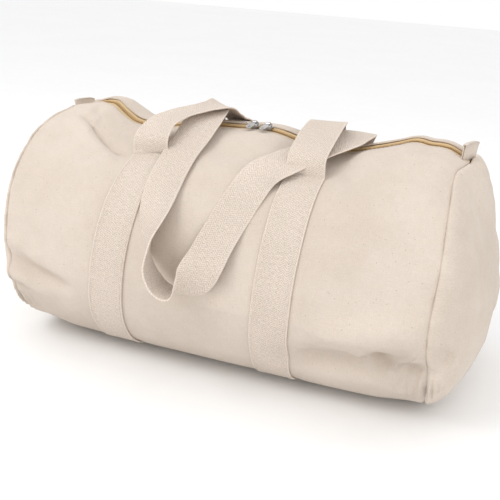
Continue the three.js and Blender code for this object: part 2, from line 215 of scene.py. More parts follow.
def body(x, angle):
    """The slumped body without its folds: points on its outside."""
    x, angle = np.broadcast_arrays(np.asarray(x, float), np.asarray(angle, float))
    turn = np.radians(angle)
    cos, sin = np.cos(turn), np.sin(turn)
    front_lip = FRONT_LIP_Z + LIP_RISE * (1 - smooth(x, -204, -184))
    top = zip_height(x) + front_lip + (REAR_LIP_Z - front_lip) * smooth(angle, 88, 93)
    share = np.clip((sin - DIP_FROM) / (1 - DIP_FROM), 0, 1) ** 1.5
    height = PLAIN_TOP - WIDEST_Z + (top - PLAIN_TOP) * share
    upper_y, upper_z = -cos * HALF_WIDTH, WIDEST_Z + sin * height
    front = angle < 90
    side = np.where(front, -1.0, 1.0)
    lower_y = side * BASE_FLAT - cos * (HALF_WIDTH - BASE_FLAT)
    lower_z = WIDEST_Z + sin * (WIDEST_Z - STRAP_BASE_Z)
    beyond = np.maximum(np.maximum(-90 - angle, angle - 270), 0) * ARC
    flat = beyond > 0
    up = (sin >= 0) & ~flat
    y = np.where(up, upper_y, np.where(flat, side * (BASE_FLAT - beyond), lower_y))
    z = np.where(up, upper_z, np.where(flat, STRAP_BASE_Z, lower_z))
    narrow = 1 - END_TAPER * smooth(np.abs(x), TAPER_FROM, SEAM_X)
    lift = np.where(x < 0, END_LIFT["left"], END_LIFT["right"]) * (1 - smooth(z, *LIFT_Z))
    z = z + lift * smooth(np.abs(x), LIFT_FROM, SEAM_X + 8)
    low = (1 - smooth(z, 2.4, 22)) * (1 - smooth(np.abs(x), LIFT_FROM, LIFT_FROM + 20))
    held = 1 - smooth(off_band(x, angle), 1.0, 9.0)
    z = z - STRAP_BASE_Z * low * (1 - held)
    return np.stack([x, y * narrow, z], -1)


def fold_height(x, angle):
    """Height of all the folds together at each point."""
    height = np.zeros(np.shape(x))
    for _, path, width, rise, sharp in FOLDS:
        distance, share = near_path(x, angle, path)
        shape = np.exp(-((distance / width) ** 2))
        if sharp:
            crest = np.exp(-distance / (0.35 * width))
            skirt = np.exp(-((distance / (1.6 * width)) ** 2))
            shape = 0.5 * crest + 0.5 * skirt
        fade = smooth(share, -0.25, 0.25) * (1 - smooth(share, 0.75, 1.25))
        height += rise * shape * (0.35 + 0.65 * fade)
    return height


def skin_height(points, x, angle):
    """How far the canvas stands off the plain body: its folds, swells and small unevenness."""
    clear = smooth(off_band(x, angle), 0.0, 26.0)
    base = smooth(points[..., 2], 3.0, 40.0)
    rim = smooth(np.abs(angle - 90) * ARC, 4.0, 30.0)
    swell = SLACK * clear
    broad = lumps(points, BROAD_LUMPS) + lumps(points, MIDDLE_LUMPS)
    fine = lumps(points, FINE_LUMPS) * clear
    held = 0.45 + 0.55 * clear
    return (fold_height(x, angle) * held + swell + broad * held + fine) * base * (0.3 + 0.7 * rim)


def skin(x, angle, lift=0.0):
    """Points on the canvas, lifted off it, and which way the body faces there."""
    x, angle = np.broadcast_arrays(np.asarray(x, float), np.asarray(angle, float))
    points = body(x, angle)
    along = body(x + 1.5, angle) - body(x - 1.5, angle)
    around = body(x, angle - 0.6) - body(x, angle + 0.6)
    n = np.cross(around, along)
    n /= np.maximum(np.linalg.norm(n, axis=-1, keepdims=True), 1e-9)
    height = skin_height(points, x, angle)
    return points + n * (height + lift)[..., None], n


# Mesh making.

def add_mesh(name, points, faces, uvs=None, smooth_faces=True):
    """Object from points in millimetres, with one UV, in units of 100 mm, for each point."""
    mesh = bpy.data.meshes.new(name)
    mesh.from_pydata((np.asarray(points, float) * MM).tolist(), [], [tuple(map(int, f)) for f in faces])
    if uvs is not None:
        layer = mesh.uv_layers.new(name="UVMap")
        loops = np.empty(len(mesh.loops), int)
        mesh.loops.foreach_get("vertex_index", loops)
        layer.data.foreach_set("uv", (np.asarray(uvs, float)[loops] / 100).ravel())
    solid = bmesh.new()
    solid.from_mesh(mesh)
    bmesh.ops.recalc_face_normals(solid, faces=solid.faces)
    solid.to_mesh(mesh)
    solid.free()
    mesh.polygons.foreach_set("use_smooth", [smooth_faces] * len(mesh.polygons))
    mesh.update()
    piece = bpy.data.objects.new(name, mesh)
    bpy.context.scene.collection.objects.link(piece)
    return piece


def grid_faces(rows, columns, start=0, flip=False, wrap=False):
    faces = []
    last = columns if wrap else columns - 1
    for i in range(rows - 1):
        for j in range(last):
            a = start + i * columns + j
            b = start + i * columns + (j + 1) % columns
            quad = (a, b, b + columns, a + columns)
            faces.append(quad[::-1] if flip else quad)
    return faces


def shell(name, outer, inner, uv):
    """Closed thin sheet between two grids of points of the same shape."""
    rows, columns = outer.shape[:2]
    count = rows * columns
    faces = grid_faces(rows, columns) + grid_faces(rows, columns, count, flip=True)
    rim = list(range(columns))
    rim += [i * columns + columns - 1 for i in range(1, rows)]
    rim += [(rows - 1) * columns + j for j in range(columns - 2, -1, -1)]
    rim += [i * columns for i in range(rows - 2, 0, -1)]
    for a, b in zip(rim, rim[1:] + rim[:1]):
        faces.append((b, a, a + count, b + count))
    points = np.concatenate([outer.reshape(-1, 3), inner.reshape(-1, 3)])
    uvs = np.concatenate([uv.reshape(-1, 2)] * 2)
    return add_mesh(name, points, faces, uvs)


def tube_blobs(name, starts, ends, radius, lift_dir, bow=0.4, sides=6, rings=5):
    """Short thread or tooth shapes, each a bowed capsule from its start to its end."""
    points, faces = [], []
    for start, end, up in zip(starts, ends, lift_dir):
        axis = end - start
        axis = axis / np.linalg.norm(axis)
        side = np.cross(axis, up)
        side = side / np.linalg.norm(side)
        top = np.cross(side, axis)
        first = len(points)
        for ring in range(rings):
            t = ring / (rings - 1)
            centre = start + (end - start) * t + top * bow * math.sin(math.pi * t)
            size = radius * max(math.sin(math.pi * (0.12 + 0.76 * t)), 0.05) ** 0.5
            for k in range(sides):
                turn = 2 * math.pi * k / sides
                points.append(centre + size * (math.cos(turn) * side + math.sin(turn) * top))
        for ring in range(rings - 1):
            for k in range(sides):
                a = first + ring * sides + k
                b = first + ring * sides + (k + 1) % sides
                faces.append((a, a + sides, b + sides, b))
        faces.append(tuple(first + k for k in range(sides)))
        faces.append(tuple(first + (rings - 1) * sides + k for k in range(sides - 1, -1, -1)))
    return add_mesh(name, np.array(points), faces)


# Camera, light and floor.

VIEW = {"azimuth": 20.0, "elevation": 19.9, "roll": 3.7, "distance": 938.0, "target": (-4.0, 0.0, 105.5)}
FOCAL_SHARE = 1.616     # focal length as a share of the frame's width


def camera_view():
    turn, rise, roll = (math.radians(VIEW[k]) for k in ("azimuth", "elevation", "roll"))
    back = Vector((math.sin(turn) * math.cos(rise), -math.cos(turn) * math.cos(rise), math.sin(rise)))
    right = Vector((math.cos(turn), math.sin(turn), 0))
    up = back.cross(right)
    right, up = right * math.cos(roll) + up * math.sin(roll), up * math.cos(roll) - right * math.sin(roll)
    data = bpy.data.cameras.new("camera")
    data.sensor_width = 36
    data.lens = 36 * FOCAL_SHARE
    data.clip_start = 0.05
    camera = bpy.data.objects.new("camera", data)
    bpy.context.scene.collection.objects.link(camera)
    place = (Vector(VIEW["target"]) + back * VIEW["distance"]) * MM
    turned = Matrix((right, up, back)).transposed().to_4x4()
    camera.matrix_world = Matrix.Translation(place) @ turned
    bpy.context.scene.camera = camera


def area_light(name, place, aim, size, power):
    data = bpy.data.lights.new(name, "AREA")
    data.shape = "RECTANGLE"
    data.size, data.size_y = size
    data.energy = power
    lamp = bpy.data.objects.new(name, data)
    bpy.context.scene.collection.objects.link(lamp)
    lamp.location = place
    lamp.rotation_euler = (Vector(aim) - Vector(place)).to_track_quat("-Z", "Y").to_euler()


def studio():
    world = bpy.data.worlds.new("studio")
    bpy.context.scene.world = world
    world.use_nodes = True
    background = world.node_tree.nodes["Background"]
    background.inputs["Color"].default_value = (1, 1, 1, 1)
    background.inputs["Strength"].default_value = 1.0
    area_light("key", (-0.9, -1.1, 1.5), (0, 0, 0.12), (0.9, 0.9), 11)
    area_light("fill", (1.3, -0.9, 0.9), (0, 0, 0.12), (1.0, 1.0), 3)
    area_light("top", (0.1, 0.3, 1.6), (0, 0, 0.1), (1.4, 1.0), 1.5)
    view = bpy.context.scene.view_settings
    view.view_transform = "Standard"
    view.look = "None"


# Materials.

OBJECT_PLACE = 3        # the output of the texture coordinate node that gives object coordinates
FLECK = (0.30, 0.20, 0.11, 1)


class Finish:
    """A node material, with short calls to add nodes."""

    def __init__(self, name):
        self.material = bpy.data.materials.new(name)
        self.material.use_nodes = True
        self.tree = self.material.node_tree
        self.shader = self.tree.nodes["Principled BSDF"]

    def put(self, socket, value):
        if isinstance(value, bpy.types.NodeSocket):
            self.tree.links.new(value, socket)
        else:
            socket.default_value = value

    def add(self, kind, values=(), out=0, **props):
        made = self.tree.nodes.new(kind)
        for key, value in props.items():
            setattr(made, key, value)
        for key, value in dict(values).items():
            self.put(made.inputs[key], value)
        return made.outputs[out]

    def maths(self, operation, *values, clamp=False):
        made = self.tree.nodes.new("ShaderNodeMath")
        made.operation = operation
        made.use_clamp = clamp
        for socket, value in zip(made.inputs, values):
            self.put(socket, value)
        return made.outputs[0]

    def mix(self, share, a, b):
        made = self.tree.nodes.new("ShaderNodeMix")
        made.data_type = "RGBA"
        self.put(made.inputs["Factor"], share)
        self.put(made.inputs["A"], a)
        self.put(made.inputs["B"], b)
        return made.outputs["Result"]

    def ramp(self, value, low, high):
        return self.add(
            "ShaderNodeMapRange", {"Value": value, "From Min": low, "From Max": high},
            interpolation_type="SMOOTHSTEP",
        )

    def noise(self, vector, scale, detail=2.0, rough=0.5):
        return self.add("ShaderNodeTexNoise", {
            "Vector": vector, "Scale": scale, "Detail": detail, "Roughness": rough,
        })

    def scaled(self, vector, by):
        return self.add("ShaderNodeVectorMath", {0: vector, 1: by}, operation="MULTIPLY")

    def bump(self, height, distance, strength=1.0, normal=None):
        made = self.tree.nodes.new("ShaderNodeBump")
        self.put(made.inputs["Height"], height)
        made.inputs["Distance"].default_value = distance
        made.inputs["Strength"].default_value = strength
        if normal is not None:
            self.put(made.inputs["Normal"], normal)
        return made.outputs[0]


def uv_mm(finish):
    """The cloth's own two directions, in millimetres."""
    uv = finish.add("ShaderNodeUVMap", uv_map="UVMap")
    split = finish.tree.nodes.new("ShaderNodeSeparateXYZ")
    finish.put(split.inputs[0], finish.scaled(uv, (100, 100, 100)))
    return split.outputs[0], split.outputs[1]


def canvas_finish(name, light, dark, thread=1.0):
    """Plain weave with uneven threads, cloudy tone and a few dark flecks of seed."""
    f = Finish(name)
    place = f.add("ShaderNodeTexCoord", out=OBJECT_PLACE)
    u, v = uv_mm(f)
    both = f.add("ShaderNodeCombineXYZ", {0: u, 1: v})
    across = f.noise(f.scaled(both, (0.10, 1.3, 1)), 1.0, 2.0, 0.6)
    along = f.noise(f.scaled(both, (1.3, 0.10, 1)), 1.0, 2.0, 0.6)
    slubs = f.maths("ADD", across, along)
    wave_u = f.maths("SINE", f.maths("MULTIPLY", u, 2 * math.pi / thread))
    wave_v = f.maths("SINE", f.maths("MULTIPLY", v, 2 * math.pi / thread))
    weave = f.maths("MULTIPLY", wave_u, wave_v)
    cloudy = f.noise(place, 9.0, 4.0, 0.6)
    grain = f.noise(f.scaled(both, (0.9, 0.9, 1)), 1.0, 3.0, 0.7)
    tone = f.maths("ADD", f.maths("MULTIPLY", f.ramp(slubs, 0.75, 1.25), 0.25),
                   f.maths("MULTIPLY", f.ramp(cloudy, 0.35, 0.65), 0.35))
    tone = f.maths("ADD", tone, f.maths("MULTIPLY", f.ramp(grain, 0.3, 0.7), 0.4))
    tone = f.maths("ADD", tone, f.maths("MULTIPLY", weave, 0.10), clamp=True)
    colour = f.mix(tone, dark, light)
    cells = f.tree.nodes.new("ShaderNodeTexVoronoi")
    cells.feature = "F1"
    f.put(cells.inputs["Vector"], f.scaled(both, (0.16, 0.20, 1)))
    cells.inputs["Scale"].default_value = 1.0
    small = f.maths("LESS_THAN", cells.outputs["Distance"], 0.085)
    pick = f.add("ShaderNodeSeparateColor", {0: cells.outputs["Color"]})
    fleck = f.maths("MULTIPLY", small, f.maths("GREATER_THAN", pick, 0.45))
    colour = f.mix(f.maths("MULTIPLY", fleck, 0.5), colour, FLECK)
    f.put(f.shader.inputs["Base Color"], colour)
    rough = f.ramp(slubs, 0.4, 1.6)
    f.put(f.shader.inputs["Roughness"], f.maths("ADD", f.maths("MULTIPLY", rough, 0.12), 0.82))
    f.shader.inputs["Sheen Weight"].default_value = 0.12
    f.shader.inputs["Sheen Roughness"].default_value = 0.6
    f.shader.inputs["Specular IOR Level"].default_value = 0.15
    crumple = f.bump(f.noise(place, 55.0, 3.0, 0.55), 0.0016, 0.6)
    yarn = f.bump(f.maths("ADD", slubs, grain), 0.00030, 0.9, crumple)
    f.put(f.shader.inputs["Normal"], f.bump(weave, 0.00010, 0.8, yarn))
    return f.material


def webbing_finish(name, light, dark, rib=2.4, column=4.4):
    """Herringbone webbing: ribs that slant one way and the other in columns along it."""
    f = Finish(name)
    place = f.add("ShaderNodeTexCoord", out=OBJECT_PLACE)
    u, v = uv_mm(f)
    both = f.add("ShaderNodeCombineXYZ", {0: u, 1: v})
    slant = f.maths("PINGPONG", f.maths("ADD", u, 100.0), column)
    phase = f.maths("MULTIPLY", f.maths("ADD", v, f.maths("MULTIPLY", slant, 0.8)), 2 * math.pi / rib)
    ribs = f.maths("SINE", phase)
    threads = f.maths("SINE", f.maths("MULTIPLY", u, 2 * math.pi / 1.25))
    height = f.maths("ADD", f.maths("MULTIPLY", ribs, 0.7), f.maths("MULTIPLY", threads, 0.3))
    grain = f.noise(f.scaled(both, (0.9, 0.35, 1)), 1.0, 3.0, 0.6)
    cloudy = f.noise(place, 14.0, 3.0, 0.5)
    tone = f.maths("ADD", f.maths("MULTIPLY", f.ramp(grain, 0.3, 0.7), 0.50),
                   f.maths("MULTIPLY", f.ramp(height, -0.9, 0.7), 0.50))
    tone = f.maths("ADD", tone, f.maths("MULTIPLY", f.ramp(cloudy, 0.3, 0.7), 0.1), clamp=True)
    # The outer 1 to 2 mm along each side is painted lighter: a painted highlight along the rounded
    # selvedge of the webbing.
    edge = f.ramp(f.maths("ABSOLUTE", u), STRAP / 2 - 1.8, STRAP / 2 - 1.0)
    colour = f.mix(tone, dark, light)
    colour = f.mix(f.maths("MULTIPLY", edge, 0.5), colour, light)
    f.put(f.shader.inputs["Base Color"], colour)
    f.put(f.shader.inputs["Roughness"], f.maths("ADD", f.maths("MULTIPLY", grain, 0.15), 0.78))
    f.shader.inputs["Sheen Weight"].default_value = 0.12
    f.shader.inputs["Sheen Roughness"].default_value = 0.6
    f.shader.inputs["Specular IOR Level"].default_value = 0.15
    soft = f.bump(grain, 0.0004, 0.8)
    f.put(f.shader.inputs["Normal"], f.bump(height, 0.00038, 1.0, soft))
    return f.material


def tape_finish(name, light, dark):
    """Fine ribs across the tape and cords along it."""
    f = Finish(name)
    place = f.add("ShaderNodeTexCoord", out=OBJECT_PLACE)
    u, v = uv_mm(f)
    ribs = f.maths("SINE", f.maths("MULTIPLY", u, 2 * math.pi / 0.9))
    cords = f.maths("SINE", f.maths("MULTIPLY", v, 2 * math.pi / 1.6))
    height = f.maths("ADD", ribs, f.maths("MULTIPLY", cords, 0.7))
    grain = f.noise(place, 700.0, 3.0, 0.6)
    tone = f.maths("ADD", f.maths("MULTIPLY", f.ramp(height, -1.4, 1.4), 0.5),
                   f.maths("MULTIPLY", grain, 0.5), clamp=True)
    f.put(f.shader.inputs["Base Color"], f.mix(tone, dark, light))
    f.put(f.shader.inputs["Roughness"], f.maths("ADD", f.maths("MULTIPLY", grain, 0.2), 0.62))
    f.shader.inputs["Specular IOR Level"].default_value = 0.25
    f.put(f.shader.inputs["Normal"], f.bump(height, 0.00012, 0.9))
    return f.material


def grained_finish(name, light, dark, size, roughness, metal=0.0, depth=0.00005):
    """Plain material with fine grain and slow variation, for coil, thread, metal and floor."""
    f = Finish(name)
    place = f.add("ShaderNodeTexCoord", out=OBJECT_PLACE)
    fine = f.noise(place, 1000.0 / size, 3.0, 0.6)
    slow = f.noise(place, 120.0 / size, 2.0, 0.5)
    tone = f.maths("ADD", f.maths("MULTIPLY", fine, 0.5), f.maths("MULTIPLY", slow, 0.5))
    f.put(f.shader.inputs["Base Color"], f.mix(f.ramp(tone, 0.3, 0.7), dark, light))
    f.shader.inputs["Metallic"].default_value = metal
    low, high = roughness
    f.put(f.shader.inputs["Roughness"], f.maths("ADD", f.maths("MULTIPLY", slow, high - low), low))
    f.put(f.shader.inputs["Normal"], f.bump(fine, depth, 0.6))
    return f.material


camera_view()
studio()
CANVAS_LOOK = canvas_finish("canvas_cloth", (0.735, 0.645, 0.56, 1), (0.58, 0.49, 0.41, 1))
WEBBING_LOOK = webbing_finish("webbing_cloth", (0.87, 0.76, 0.665, 1), (0.52, 0.43, 0.355, 1))
TAPE_LOOK = tape_finish("zip_tape_cloth", (0.80, 0.62, 0.38, 1), (0.64, 0.46, 0.25, 1))
COIL_LOOK = grained_finish(
    "coil_plastic", (0.66, 0.45, 0.22, 1), (0.50, 0.32, 0.14, 1), 2.0, (0.35, 0.55))
METAL_LOOK = grained_finish(
    "nickel", (0.60, 0.585, 0.575, 1), (0.34, 0.33, 0.325, 1), 1.5, (0.12, 0.30), 1.0)
THREAD_LOOK = grained_finish(
    "thread", (0.80, 0.72, 0.64, 1), (0.68, 0.59, 0.51, 1), 0.8, (0.7, 0.9))
FLOOR_LOOK = grained_finish(
    "floor_paint", (0.93, 0.93, 0.93, 1), (0.91, 0.91, 0.91, 1), 40.0, (0.7, 0.9))


def dress(piece, cloth, body_name=None):
    """Gives a piece its material, and the body that it rides on."""
    piece.data.materials.clear()
    piece.data.materials.append(cloth)
    if body_name:
        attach(piece, body_name)
    return piece


FLOOR_SIZE = 6000.0     # half of each side
FLOOR_Z = -0.4


def floor():
    sides = [(-1, -1), (1, -1), (1, 1), (-1, 1)]
    corners = [(x * FLOOR_SIZE, y * FLOOR_SIZE, FLOOR_Z) for x, y in sides]
    plane = add_mesh("floor", corners, [(0, 1, 2, 3)], [corner[:2] for corner in corners])
    plane.data.materials.append(FLOOR_LOOK)


floor()

# Canvas sleeve.

# Where each end seam runs: girth angle and place along the bag.
SEAM_LINE = {
    "right": [(-114, 226), (-60, 227), (-32, 229), (-20, 229), (-6, 227), (11, 225), (26, 226),
              (41, 224), (55, 221), (69, 219), (80, 224), (90, 227), (120, 226), (160, 224),
              (210, 227), (250, 228), (294, 226)],
    "left": [(-114, -226), (-60, -227), (-30, -227), (0, -234), (20, -240), (40, -241), (62, -236),
             (80, -229), (100, -227), (130, -230), (170, -238), (210, -238), (250, -230), (294, -226)],
}
FRONT_LIP = 90 - math.degrees(math.asin(LIP_Y / HALF_WIDTH))
REAR_LIP = 90 + math.degrees(math.asin(REAR_LIP_Y / HALF_WIDTH))
UNDER_FRONT = -90 - BASE_FLAT / ARC
UNDER_REAR = 270 + BASE_FLAT / ARC


def seam_x(side, angle):
    return spline(SEAM_LINE[side], angle).reshape(np.shape(angle))


def sleeve_x(x, angle):
    """Place along the bag, drawn towards the wandering line of the end seam."""
    side_left = smooth(-x, 150.0, SEAM_X)
    side_right = smooth(x, 150.0, SEAM_X)
    left_shift = seam_x("left", angle) + SEAM_X
    right_shift = seam_x("right", angle) - SEAM_X
    return x + side_left * left_shift + side_right * right_shift


PLEAT_PITCH = 8.0
PUCKER_SEED = 4.0


def seam_dip(gap, angle, seed):
    """Groove at an end seam, with the small puckers and lower pleats that its stitches draw up."""
    s = np.stack([angle * ARC, np.full(np.shape(angle), seed), np.zeros(np.shape(angle))], -1)
    pucker = fbm(s, 9.0, 2, seed) * np.exp(-gap / 13.0) * smooth(gap, 0.0, 4.0)
    gathers = 1.8 + 1.2 * np.exp(-(((angle + 24) / 16) ** 2))
    pleat = np.sin(2 * math.pi * gap / PLEAT_PITCH) * np.exp(-gap / 15.0)
    pleat = pleat * np.exp(-(((angle + 34) / 10) ** 2))
    return -1.5 * np.exp(-((gap / 2.0) ** 2)) + gathers * pucker - 3.0 * pleat


FINE_FROM = 196.0       # the mesh is finer beyond this, near the end seams


def sleeve():
    """The tube of canvas round the bag, open along the zip."""
    edge = np.linspace(FINE_FROM, SEAM_X, 22)
    xs = np.concatenate([-edge[::-1], np.linspace(-FINE_FROM, FINE_FROM, 104)[1:-1], edge])
    front = np.linspace(FRONT_LIP, UNDER_FRONT, 170)
    rear = np.linspace(UNDER_REAR, REAR_LIP, 170)[1:]
    angles = np.concatenate([front, rear])
    x, angle = np.meshgrid(xs, angles, indexing="ij")
    placed = sleeve_x(x, angle)
    points, n = skin(placed, angle)
    clear = smooth(points[..., 2], 2.0, 25.0) * smooth(np.abs(angle - 90) * ARC, 8, 22)
    dip = seam_dip(SEAM_X - np.abs(x), angle, PUCKER_SEED) * clear
    points = points + n * dip[..., None]
    around = np.concatenate([front * ARC, (UNDER_FRONT - (UNDER_REAR - rear)) * ARC])
    uv = np.stack([placed, np.broadcast_to(around, x.shape)], -1)
    inner = points - n * CANVAS
    return shell("canvas_sleeve", points, inner, uv)


# End panels.

END_MIDDLE_Z = 122.0    # height of the middle of each end
END_REACH = 75.0        # length of canvas for each radian from the seam to the middle


def end_panel(side):
    """Domed canvas end, grown from the sleeve's seam line ring by ring."""
    sign = 1.0 if side == "right" else -1.0
    angles = np.concatenate([
        np.linspace(90, UNDER_FRONT, 150), np.linspace(UNDER_REAR, 90, 150)[1:-1],
    ])
    rings = np.concatenate([np.linspace(0, 0.27, 26), np.linspace(0.27, 0.97, 34)[1:]])
    rim_x = sleeve_x(np.full(angles.shape, sign * SEAM_X), angles)
    rim = body(rim_x, angles)
    rim_height = skin_height(rim, rim_x, angles)
    middle = np.array([0.0, 0.0, END_MIDDLE_Z])
    t, angle = np.meshgrid(rings, angles, indexing="ij")
    turn = t * math.pi / 2
    shrink = np.cos(turn)[..., None] ** FULLNESS
    points = middle + (rim[None] - middle) * shrink
    points[..., 0] = rim[None, :, 0] * shrink[..., 0] + (1 - shrink[..., 0]) * sign * SEAM_X
    points[..., 0] += sign * DOME_DEPTH[side] * np.sin(turn)
    points[..., 0] -= sign * HIGH_SLACK[side] * np.sin(turn) * smooth(points[..., 2], 110.0, 215.0)
    outward = unit((rim - middle) * [0, 1, 1])[None] * shrink
    outward[..., 0] = sign * np.sin(turn)
    gap = turn * END_REACH
    clear = smooth(points[..., 2], 2.0, 25.0)
    uneven = lumps(points, END_BROAD_LUMPS) + lumps(points, END_FINE_LUMPS)
    folds = end_folds(side, points)
    height = rim_height[None] * (1 - smooth(gap, 0, 30)) + (uneven + folds) * smooth(gap, 0, 35)
    height = height + seam_dip(gap, angle, PUCKER_SEED)
    points = points + outward * (height * clear)[..., None]
    inner = points - outward * CANVAS
    count = len(angles)
    rows = len(rings)
    flip = side == "right"
    faces = grid_faces(rows, count, 0, flip=not flip, wrap=True)
    faces += grid_faces(rows, count, rows * count, flip=flip, wrap=True)
    for j in range(count):
        a, b = j, (j + 1) % count
        quad = (a, b, b + rows * count, a + rows * count)
        faces.append(quad if not flip else quad[::-1])
    everything = np.concatenate([points.reshape(-1, 3), inner.reshape(-1, 3)])
    hubs = np.array([points[-1].mean(0) + [sign * 0.05, 0, 0], inner[-1].mean(0)])
    everything = np.concatenate([everything, hubs])
    hub = 2 * rows * count
    for j in range(count):
        a = (rows - 1) * count + j
        b = (rows - 1) * count + (j + 1) % count
        cap = (a, b, hub)
        lower = (b + rows * count, a + rows * count, hub + 1)
        faces += [cap[::-1], lower[::-1]] if not flip else [cap, lower]
    return add_mesh(f"canvas_end_{side}", everything, faces, everything[:, 1:])


# Folds of the end panels: paths in y and z, a width and a height.
END_FOLDS = {
    "right": [
        ([(-78, 216), (-66, 170), (-70, 130)], 10, -3.0),
        ([(-20, 235), (-28, 190)], 16, 3.0),
        ([(-120, 120), (-96, 96), (-60, 84)], 18, -3.0),
        ([(60, 200), (50, 130), (58, 80)], 14, -3.5),
        ([(-20, 20), (0, 60), (30, 80)], 14, -3.0),
        ([(-144, 96), (-132, 84), (-118, 80)], 9, -8.0),
    ],
    "left": [
        ([(-90, 190), (-70, 150), (-76, 100)], 14, -3.0),
        ([(-100, 60), (-60, 70), (-20, 60)], 14, -3.5),
        ([(20, 225), (30, 160), (10, 120)], 14, -3.0),
        ([(80, 60), (60, 110), (70, 160)], 12, -3.0),
    ],
}


def end_folds(side, points):
    height = np.zeros(points.shape[:-1])
    for path, width, rise in END_FOLDS[side]:
        stretched = [(a, b / ARC) for a, b in path]
        distance, share = near_path(points[..., 1], points[..., 2] / ARC, stretched)
        fade = smooth(share, 0.0, 0.3) * (1 - smooth(share, 0.6, 1.0))
        height += rise * np.exp(-((distance / width) ** 2)) * fade
    return height


BINDING_DEPTH = (2.6, 11.0)     # from just under the canvas to its inner edge
BINDING_HALF = 0.9              # half of its thickness


def seam_binding(side):
    """Bound seam allowance that stands inwards from the end seam, inside the bag."""
    sign = 1.0 if side == "right" else -1.0
    angles = np.concatenate([
        np.linspace(FRONT_LIP - 3, UNDER_FRONT, 110), np.linspace(UNDER_REAR, REAR_LIP + 3, 110)[1:],
    ])
    depths = np.linspace(*BINDING_DEPTH, 7)
    depth, angle = np.meshgrid(depths, angles, indexing="ij")
    x = sleeve_x(np.full(angle.shape, sign * (SEAM_X - 3.0)), angle)
    points, _ = skin(x, angle, -depth)
    thick = np.array([sign * BINDING_HALF, 0.0, 0.0])
    uv = np.stack([angle * ARC, depth], -1)
    return shell(f"end_seam_binding_{side}", points + thick, points - thick, uv)


# Webbing.

def strap_columns():
    """Places across the webbing, closer together at its rounded edges."""
    edge = STRAP / 2
    inner = np.linspace(-edge + 1.0, edge - 1.0, 15)
    return np.concatenate([[-edge, -edge + 0.2, -edge + 0.55], inner, [edge - 0.55, edge - 0.2, edge]])


COLUMNS = strap_columns()


def band_rows(side, start, stop):
    """Rows of points across a band that lies on the canvas, from one girth angle to another."""
    count = max(int(abs(stop - start) * ARC / ROW_STEP), 6)
    angles = np.linspace(start, stop, count)
    centres = band_centre(side, angles)
    slope = np.gradient(centres) / np.gradient(angles * ARC)
    across, angle = np.meshgrid(COLUMNS, angles, indexing="xy")
    x = centres[:, None] + across
    shifted = angle + across * slope[:, None] / ARC
    points, n = skin(x, shifted, GAP + WEBBING / 2)
    return points, n


def curve_through(controls, step=ROW_STEP):
    """Evenly stepped smooth curve through points, with any further values carried along."""
    controls = np.asarray(controls, float)
    lengths = np.linalg.norm(np.diff(controls[:, :3], axis=0), axis=1)
    places = np.concatenate([[0], np.cumsum(lengths)])
    table = [(p, *row) for p, row in zip(places, controls)]
    fine = spline(table, np.linspace(0, places[-1], 600))
    run = np.concatenate([[0], np.cumsum(np.linalg.norm(np.diff(fine[:, :3], axis=0), axis=1))])
    even = np.linspace(0, run[-1], int(run[-1] / step))
    return np.stack([np.interp(even, run, fine[:, k]) for k in range(fine.shape[1])], -1)


CROWN_Z = 251.5         # usual height of the crown, for which way is outward from the body


def free_rows(controls, first, last, seed):
    """Rows across a strap that hangs free. Its frame runs into the given rows at both ends."""
    line = curve_through(controls)
    centre, roll, turn = line[:, :3], np.radians(line[:, 3]), np.radians(line[:, 4])
    tangent = unit(np.gradient(centre, axis=0))
    reach = np.where(centre[:, 2] > WIDEST_Z, CROWN_Z - WIDEST_Z, WIDEST_Z)
    outward = unit(np.stack([
        np.zeros(len(centre)), centre[:, 1] / HALF_WIDTH**2, (centre[:, 2] - WIDEST_Z) / reach**2,
    ], -1))
    level = np.stack([np.cos(turn), np.sin(turn), np.zeros(len(turn))], -1)
    width = unit(level * np.cos(roll)[:, None] + outward * np.sin(roll)[:, None])
    run = np.arange(len(centre)) * ROW_STEP
    near_first = 1 - smooth(run, 0, SETTLE)
    near_last = 1 - smooth(run[-1] - run, 0, SETTLE)
    for row, share in ((first, near_first), (last, near_last)):
        held = unit(row[-1] - row[0])
        held = held * np.sign(width[0 if row is first else -1] @ held)
        width = unit(width * (1 - share[:, None]) + held * share[:, None])
    width = unit(width - tangent * np.sum(width * tangent, -1, keepdims=True))
    face = np.cross(tangent, width)
    points = centre[:, None] + width[:, None] * COLUMNS[None, :, None]
    free = smooth(run, 0, 30) * (1 - smooth(run, run[-1] - 30, run[-1]))
    ripple = fbm(points, 42.0, 2, seed) * 0.8 * free[:, None]
    edge_roll = 0.0016 * COLUMNS[None, :] ** 2 * free[:, None]
    bent = points + face[:, None] * (ripple - edge_roll)[..., None]
    return bent, np.broadcast_to(face[:, None], points.shape)


def strap(name, runs):
    """One continuous strap from runs of rows laid end to end, and its length."""
    points = np.concatenate([points for points, _ in runs])
    n = np.concatenate([faces for _, faces in runs])
    steps = np.diff(points[:, len(COLUMNS) // 2], axis=0)
    along = np.concatenate([[0], np.cumsum(np.linalg.norm(steps, axis=1))])
    from_edge = STRAP / 2 - np.abs(COLUMNS)
    half = WEBBING / 2 * np.sqrt(np.clip(1 - (1 - np.clip(from_edge, 0, 1)) ** 2, 0.03, 1))
    uv = np.stack(np.broadcast_arrays(COLUMNS[None, :], along[:, None]), -1)
    outer = points + n * half[None, :, None]
    inner = points - n * half[None, :, None]
    piece = shell(name, outer, inner, uv)
    return piece, along[-1]


